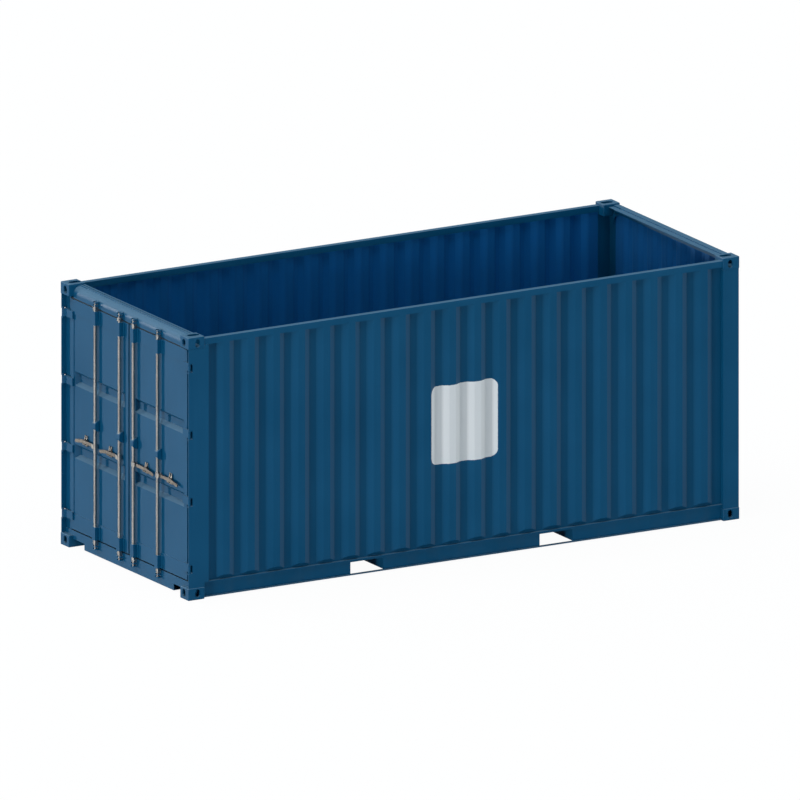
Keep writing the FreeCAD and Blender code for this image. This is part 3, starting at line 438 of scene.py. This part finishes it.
def valleyShade(tree, place, paint):  # painted shade: darker where the sheet lies deep between its ridges
    depths = []
    for axis, crest in (("X", cadHigh.x), ("Y", cadHigh.y)):
        far = combine(tree, "ABSOLUTE", place[axis], 0)
        shallow, deep = (crest - depth for depth in paint["valleyDepth"])
        depths.append(remap(tree, far, deep, shallow, paint["valleyShadeLevel"], 1.0))
    return combine(tree, "MAXIMUM", *depths)


def insideMask(tree, place, facing, paint):  # faces of the walls that look into the container
    atFront = combine(tree, "GREATER_THAN", place["X"], cadHigh.x - paint["frontDeep"])
    inwardX = combine(tree, "MULTIPLY", facing["X"], -1)
    inwardY = combine(tree, "MULTIPLY", combine(tree, "MULTIPLY", facing["Y"], place["Y"]), -1)
    away = combine(tree, "SUBTRACT", 1, atFront)
    inward = combine(tree, "ADD", combine(tree, "MULTIPLY", inwardX, atFront),
                     combine(tree, "MULTIPLY", inwardY, away))
    return remap(tree, inward, *paint["innerFacing"])


def makeWallPaint(paint, panel):  # the same blue, with the blank white panel on the right wall, painted shade between the ridges and a more saturated blue painted as shade on the inside faces
    material, tree, shader = startMaterial("wallPaint", specular=paint["specular"])
    outputs = placeWeather(tree, paint["dustHeight"])
    coord = addNode(tree, "ShaderNodeTexCoord").outputs["Object"]
    place = addNode(tree, "ShaderNodeSeparateXYZ")
    link(tree, coord, place.inputs[0])
    facing = addNode(tree, "ShaderNodeSeparateXYZ")
    link(tree, addNode(tree, "ShaderNodeNewGeometry").outputs["True Normal"], facing.inputs[0])
    mask = panelMask(tree, coord, place.outputs, facing.outputs, panel)
    inside = insideMask(tree, place.outputs, facing.outputs, paint)
    # painted shade: faces that look into the container take the more saturated blue
    blue = mixColor(tree, inside, paintColor(tree, outputs, paint), paint["inner"])
    shaded = addNode(tree, "ShaderNodeVectorMath", operation="SCALE")
    link(tree, mixColor(tree, mask, blue, panel["color"]), shaded.inputs[0])
    # painted shade: the colour is darkened where the sheet lies deep between its ridges
    link(tree, valleyShade(tree, place.outputs, paint), shaded.inputs["Scale"])
    matte = combine(tree, "MULTIPLY", inside, paint["innerRough"])
    finishPaint(tree, shader, outputs, shaded.outputs[0], paint, matte)
    return material


def makeSteel(name, steel, look):
    material, tree, shader = startMaterial(name, metallic=steel["metallic"])
    outputs = placeWeather(tree, look["dustHeight"])
    coord = addNode(tree, "ShaderNodeTexCoord").outputs["Object"]
    spangle = addNode(tree, "ShaderNodeTexVoronoi")
    spangle.inputs["Scale"].default_value = look["spangleScale"]
    link(tree, coord, spangle.inputs["Vector"])
    grain = mixColor(tree, spangle.outputs["Color"], steel["color"], steel["bright"])
    cloudy = remap(tree, outputs["Clouds"], *look["dullRange"], 0, look["dullAmount"])
    link(tree, mixColor(tree, cloudy, grain, steel["dull"]), shader.inputs["Base Color"])
    rough = remap(tree, outputs["Grain"], *look["roughRange"], steel["roughLow"], steel["roughHigh"])
    link(tree, rough, shader.inputs["Roughness"])
    addBump(tree, shader, outputs["Grain"], *look["grainBump"])
    return material


def makeSealRubber(rubber):
    material, tree, shader = startMaterial("sealRubber", roughness=rubber["roughness"],
                                           specular=rubber["specular"])
    outputs = placeWeather(tree, rubber["dustHeight"])
    cloudy = remap(tree, outputs["Clouds"], *rubber["grayRange"], 0, rubber["grayAmount"])
    link(tree, mixColor(tree, cloudy, rubber["color"], rubber["gray"]), shader.inputs["Base Color"])
    addBump(tree, shader, outputs["Grain"], *rubber["grainBump"])
    return material


def makePlywood(wood):
    material, tree, shader = startMaterial("floorPlywood", specular=wood["specular"])
    coord = addNode(tree, "ShaderNodeTexCoord").outputs["Object"]
    fibre = noiseAt(tree, coord, wood["fibreScale"], wood["fibreDetail"], wood["fibreStretch"])
    rings = noiseAt(tree, coord, wood["ringScale"], wood["ringDetail"], wood["ringStretch"])
    scuffs = noiseAt(tree, coord, wood["scuffScale"], wood["scuffDetail"], wood["scuffStretch"])
    body = mixColor(tree, remap(tree, fibre, *wood["fibreRange"]), wood["dark"], wood["light"])
    ringed = remap(tree, rings, *wood["ringRange"], 0, wood["ringAmount"])
    body = mixColor(tree, ringed, body, wood["dark"])
    scuffed = remap(tree, scuffs, *wood["scuffRange"], 0, wood["scuffAmount"])
    link(tree, mixColor(tree, scuffed, body, wood["scuff"]), shader.inputs["Base Color"])
    rough = remap(tree, fibre, *wood["fibreRange"], wood["roughLow"], wood["roughHigh"])
    link(tree, rough, shader.inputs["Roughness"])
    addBump(tree, shader, fibre, *wood["grainBump"])
    return material


finishes = {
    "bluePaint": makeBluePaint(bluePaint),
    "wallPaint": makeWallPaint(bluePaint, whitePanel),
    "zincSteel": makeSteel("zincSteel", zincSteel, steelGrain),
    "wornSteel": makeSteel("wornSteel", wornSteel, steelGrain),
    "sealRubber": makeSealRubber(sealRubber),
    "floorPlywood": makePlywood(plywood),
}
slotFinish = {"blue_paint": "bluePaint", "zinc_steel": "zincSteel", "seal_rubber": "sealRubber",
              "floor_plywood": "floorPlywood"}

for part in record["subparts"]:
    node = nodes[part["node"]]
    ridged = part["node"] in ("side_walls", "front_wall")
    rubbed = part["node"].startswith(("bar_handle", "handle_catches"))
    finish = "wallPaint" if ridged else slotFinish[part["material_slot"]]
    if rubbed and finish == "zincSteel":
        finish = "wornSteel"
    node.data.materials.clear()
    node.data.materials.append(finishes[finish])
print("finishes placed")


# small pieces made here

floorScrews = {
    "boards": 5, "rows": (0.04, 0.35, 0.65, 0.96), "perRow": 8, "fromSide": 0.05,  # rows: shares of a board
    "corners": 16, "radius": 0.007, "high": 0.0016, "sunk": 0.0001, "recess": 0.0009,
    "rim": 0.2, "rimTaper": 0.9, "recessRim": 0.35,  # rims: shares of the radius
}


def makeScrew(look):  # a low round head with a tapered rim and a sunk middle
    bpy.ops.object.select_all(action="DESELECT")
    bpy.ops.mesh.primitive_cylinder_add(vertices=look["corners"], radius=look["radius"],
                                        depth=look["high"], location=(0, 0, 0))
    screw = bpy.context.object
    bpy.ops.object.mode_set(mode="EDIT")
    bpy.ops.mesh.select_mode(type="FACE")
    bpy.ops.mesh.select_all(action="DESELECT")
    bpy.ops.object.mode_set(mode="OBJECT")
    for face in screw.data.polygons:
        face.select = face.normal.z > 0.9
    bpy.ops.object.mode_set(mode="EDIT")
    bpy.ops.mesh.inset(thickness=look["radius"] * look["rim"])
    bpy.ops.transform.resize(value=(look["rimTaper"], look["rimTaper"], 1))
    bpy.ops.mesh.inset(thickness=look["radius"] * look["recessRim"])
    bpy.ops.transform.translate(value=(0, 0, -look["recess"]))
    bpy.ops.object.mode_set(mode="OBJECT")
    return screw


def makeFloorScrews(look, boards):
    low, high = boards
    boardLong = (high[0] - low[0]) / look["boards"]
    rowLong = high[1] - low[1] - 2 * look["fromSide"]
    first = makeScrew(look)
    copies = []
    for board in range(look["boards"]):
        for share in look["rows"]:
            for place in range(look["perRow"]):
                copy = first.copy()
                copy.data = first.data.copy()
                bpy.context.collection.objects.link(copy)
                across = rowLong * place / (look["perRow"] - 1)
                copy.location = (low[0] + boardLong * (board + share), low[1] + look["fromSide"] + across,
                                 high[2] + look["high"] / 2 - look["sunk"])
                copies.append(copy)
    bpy.data.objects.remove(first)
    bpy.ops.object.select_all(action="DESELECT")
    for copy in copies:
        copy.select_set(True)
    bpy.context.view_layer.objects.active = copies[0]
    bpy.ops.object.join()
    screws = bpy.context.object
    screws.name = "floorScrews"
    finishPiece(screws, "container", finishes["zincSteel"])


makeFloorScrews(floorScrews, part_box("floor_boards"))
print("floor screws made")
